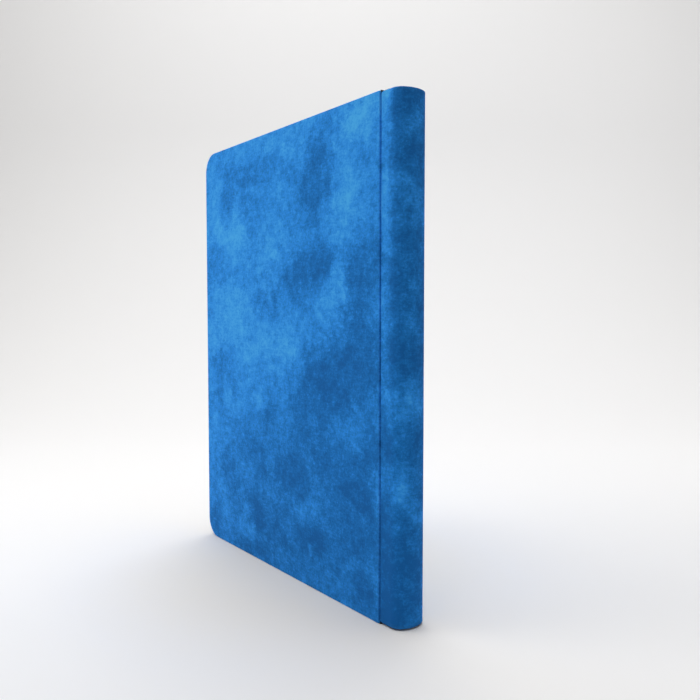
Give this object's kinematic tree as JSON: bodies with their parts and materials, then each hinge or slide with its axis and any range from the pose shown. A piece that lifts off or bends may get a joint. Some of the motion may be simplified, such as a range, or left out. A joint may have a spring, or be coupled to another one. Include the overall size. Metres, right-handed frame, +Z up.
{
  "type": "card album",
  "caption": "Book-like album with a rounded spine, two fabric-covered hinged covers and turning pocket leaves that store cards side-loaded in clear pockets.",
  "frame": {"origin": "centre of the footprint, on the bottom edges that the closed album stands on", "axes": "+X from the spine to the fore-edge, +Y from the front cover to the back cover, +Z up"},
  "size_m": [0.2586, 0.026, 0.33],
  "materials": {
    "cover_fabric": "soft brushed, mottled",
    "cover_board": "matte",
    "lining_fabric": "fine weave",
    "hinge_tape": "matte",
    "stiffener_plastic": "matte",
    "binding_plastic": "matte",
    "rivet_metal": "satin",
    "leaf_sheet": "fine matte",
    "pocket_film": "clear film"
  },
  "bodies": {
    "spine": {"spine_skin": "cover_fabric", "spine_stiffener": "stiffener_plastic", "spine_lining": "lining_fabric", "back_hinge_tape": "hinge_tape", "front_hinge_tape": "hinge_tape", "binding_block": "binding_plastic", "binding_rivets": "rivet_metal"},
    "back_cover": {"back_cover_skin": "cover_fabric", "back_cover_board": "cover_board", "back_cover_lining": "lining_fabric"},
    "front_cover": {"front_cover_skin": "cover_fabric", "front_cover_board": "cover_board", "front_cover_lining": "lining_fabric"},
    "leaf_01": {"leaf_01": "leaf_sheet", "pockets_01": "pocket_film"},
    "leaf_02": {"leaf_02": "leaf_sheet", "pockets_02": "pocket_film"},
    "leaf_03": {"leaf_03": "leaf_sheet", "pockets_03": "pocket_film"},
    "leaf_04": {"leaf_04": "leaf_sheet", "pockets_04": "pocket_film"},
    "leaf_05": {"leaf_05": "leaf_sheet", "pockets_05": "pocket_film"},
    "leaf_06": {"leaf_06": "leaf_sheet", "pockets_06": "pocket_film"},
    "leaf_07": {"leaf_07": "leaf_sheet", "pockets_07": "pocket_film"},
    "leaf_08": {"leaf_08": "leaf_sheet", "pockets_08": "pocket_film"},
    "leaf_09": {"leaf_09": "leaf_sheet", "pockets_09": "pocket_film"},
    "leaf_10": {"leaf_10": "leaf_sheet", "pockets_10": "pocket_film"},
    "leaf_11": {"leaf_11": "leaf_sheet", "pockets_11": "pocket_film"},
    "leaf_12": {"leaf_12": "leaf_sheet", "pockets_12": "pocket_film"},
    "leaf_13": {"leaf_13": "leaf_sheet", "pockets_13": "pocket_film"},
    "leaf_14": {"leaf_14": "leaf_sheet", "pockets_14": "pocket_film"},
    "leaf_15": {"leaf_15": "leaf_sheet", "pockets_15": "pocket_film"},
    "leaf_16": {"leaf_16": "leaf_sheet", "pockets_16": "pocket_film"},
    "leaf_17": {"leaf_17": "leaf_sheet", "pockets_17": "pocket_film"},
    "leaf_18": {"leaf_18": "leaf_sheet", "pockets_18": "pocket_film"},
    "leaf_19": {"leaf_19": "leaf_sheet", "pockets_19": "pocket_film"},
    "leaf_20": {"leaf_20": "leaf_sheet", "pockets_20": "pocket_film"}
  },
  "joints": [
    {"name": "front_cover_hinge", "type": "hinge", "parent": "spine", "child": "front_cover", "pos_m": [-0.1104, -0.0123, 0.165], "axis": [0, 0, -1], "range_deg": [0, 95]},
    {"name": "back_cover_hinge", "type": "hinge", "parent": "spine", "child": "back_cover", "pos_m": [-0.1104, 0.0123, 0.165], "axis": [0, 0, 1], "range_deg": [0, 95]},
    {"name": "leaf_01_turn", "type": "hinge", "parent": "spine", "child": "leaf_01", "pos_m": [-0.1069, -0.0095, 0.165], "axis": [0, 0, -1], "range_deg": [0, 90]},
    {"name": "leaf_02_turn", "type": "hinge", "parent": "spine", "child": "leaf_02", "pos_m": [-0.1069, -0.0085, 0.165], "axis": [0, 0, -1], "range_deg": [0, 90]},
    {"name": "leaf_03_turn", "type": "hinge", "parent": "spine", "child": "leaf_03", "pos_m": [-0.1069, -0.0075, 0.165], "axis": [0, 0, -1], "range_deg": [0, 90]},
    {"name": "leaf_04_turn", "type": "hinge", "parent": "spine", "child": "leaf_04", "pos_m": [-0.1069, -0.0065, 0.165], "axis": [0, 0, -1], "range_deg": [0, 90]},
    {"name": "leaf_05_turn", "type": "hinge", "parent": "spine", "child": "leaf_05", "pos_m": [-0.1069, -0.0055, 0.165], "axis": [0, 0, -1], "range_deg": [0, 90]},
    {"name": "leaf_06_turn", "type": "hinge", "parent": "spine", "child": "leaf_06", "pos_m": [-0.1069, -0.0045, 0.165], "axis": [0, 0, -1], "range_deg": [0, 90]},
    {"name": "leaf_07_turn", "type": "hinge", "parent": "spine", "child": "leaf_07", "pos_m": [-0.1069, -0.0035, 0.165], "axis": [0, 0, -1], "range_deg": [0, 90]},
    {"name": "leaf_08_turn", "type": "hinge", "parent": "spine", "child": "leaf_08", "pos_m": [-0.1069, -0.0025, 0.165], "axis": [0, 0, -1], "range_deg": [0, 90]},
    {"name": "leaf_09_turn", "type": "hinge", "parent": "spine", "child": "leaf_09", "pos_m": [-0.1069, -0.0015, 0.165], "axis": [0, 0, -1], "range_deg": [0, 90]},
    {"name": "leaf_10_turn", "type": "hinge", "parent": "spine", "child": "leaf_10", "pos_m": [-0.1069, -0.0005, 0.165], "axis": [0, 0, -1], "range_deg": [0, 90]},
    {"name": "leaf_11_turn", "type": "hinge", "parent": "spine", "child": "leaf_11", "pos_m": [-0.1069, 0.0005, 0.165], "axis": [0, 0, -1], "range_deg": [0, 90]},
    {"name": "leaf_12_turn", "type": "hinge", "parent": "spine", "child": "leaf_12", "pos_m": [-0.1069, 0.0015, 0.165], "axis": [0, 0, -1], "range_deg": [0, 90]},
    {"name": "leaf_13_turn", "type": "hinge", "parent": "spine", "child": "leaf_13", "pos_m": [-0.1069, 0.0025, 0.165], "axis": [0, 0, -1], "range_deg": [0, 90]},
    {"name": "leaf_14_turn", "type": "hinge", "parent": "spine", "child": "leaf_14", "pos_m": [-0.1069, 0.0035, 0.165], "axis": [0, 0, -1], "range_deg": [0, 90]},
    {"name": "leaf_15_turn", "type": "hinge", "parent": "spine", "child": "leaf_15", "pos_m": [-0.1069, 0.0045, 0.165], "axis": [0, 0, -1], "range_deg": [0, 90]},
    {"name": "leaf_16_turn", "type": "hinge", "parent": "spine", "child": "leaf_16", "pos_m": [-0.1069, 0.0055, 0.165], "axis": [0, 0, -1], "range_deg": [0, 90]},
    {"name": "leaf_17_turn", "type": "hinge", "parent": "spine", "child": "leaf_17", "pos_m": [-0.1069, 0.0065, 0.165], "axis": [0, 0, -1], "range_deg": [0, 90]},
    {"name": "leaf_18_turn", "type": "hinge", "parent": "spine", "child": "leaf_18", "pos_m": [-0.1069, 0.0075, 0.165], "axis": [0, 0, -1], "range_deg": [0, 90]},
    {"name": "leaf_19_turn", "type": "hinge", "parent": "spine", "child": "leaf_19", "pos_m": [-0.1069, 0.0085, 0.165], "axis": [0, 0, -1], "range_deg": [0, 90]},
    {"name": "leaf_20_turn", "type": "hinge", "parent": "spine", "child": "leaf_20", "pos_m": [-0.1069, 0.0095, 0.165], "axis": [0, 0, -1], "range_deg": [0, 90]}
  ],
  "couplings": [
    {"joint": "leaf_01_turn", "follows": "front_cover_hinge", "ratio": 0.8421},
    {"joint": "leaf_02_turn", "follows": "front_cover_hinge", "ratio": 0.8084},
    {"joint": "leaf_03_turn", "follows": "front_cover_hinge", "ratio": 0.7747},
    {"joint": "leaf_04_turn", "follows": "front_cover_hinge", "ratio": 0.7411},
    {"joint": "leaf_05_turn", "follows": "front_cover_hinge", "ratio": 0.7074},
    {"joint": "leaf_06_turn", "follows": "front_cover_hinge", "ratio": 0.6737},
    {"joint": "leaf_07_turn", "follows": "front_cover_hinge", "ratio": 0.64},
    {"joint": "leaf_08_turn", "follows": "front_cover_hinge", "ratio": 0.6063},
    {"joint": "leaf_09_turn", "follows": "front_cover_hinge", "ratio": 0.5726},
    {"joint": "leaf_10_turn", "follows": "front_cover_hinge", "ratio": 0.5389},
    {"joint": "leaf_11_turn", "follows": "front_cover_hinge", "ratio": 0.1895},
    {"joint": "leaf_12_turn", "follows": "front_cover_hinge", "ratio": 0.1705},
    {"joint": "leaf_13_turn", "follows": "front_cover_hinge", "ratio": 0.1516},
    {"joint": "leaf_14_turn", "follows": "front_cover_hinge", "ratio": 0.1326},
    {"joint": "leaf_15_turn", "follows": "front_cover_hinge", "ratio": 0.1137},
    {"joint": "leaf_16_turn", "follows": "front_cover_hinge", "ratio": 0.0947},
    {"joint": "leaf_17_turn", "follows": "front_cover_hinge", "ratio": 0.0758},
    {"joint": "leaf_18_turn", "follows": "front_cover_hinge", "ratio": 0.0568},
    {"joint": "leaf_19_turn", "follows": "front_cover_hinge", "ratio": 0.0379},
    {"joint": "leaf_20_turn", "follows": "front_cover_hinge", "ratio": 0.0189}
  ]
}
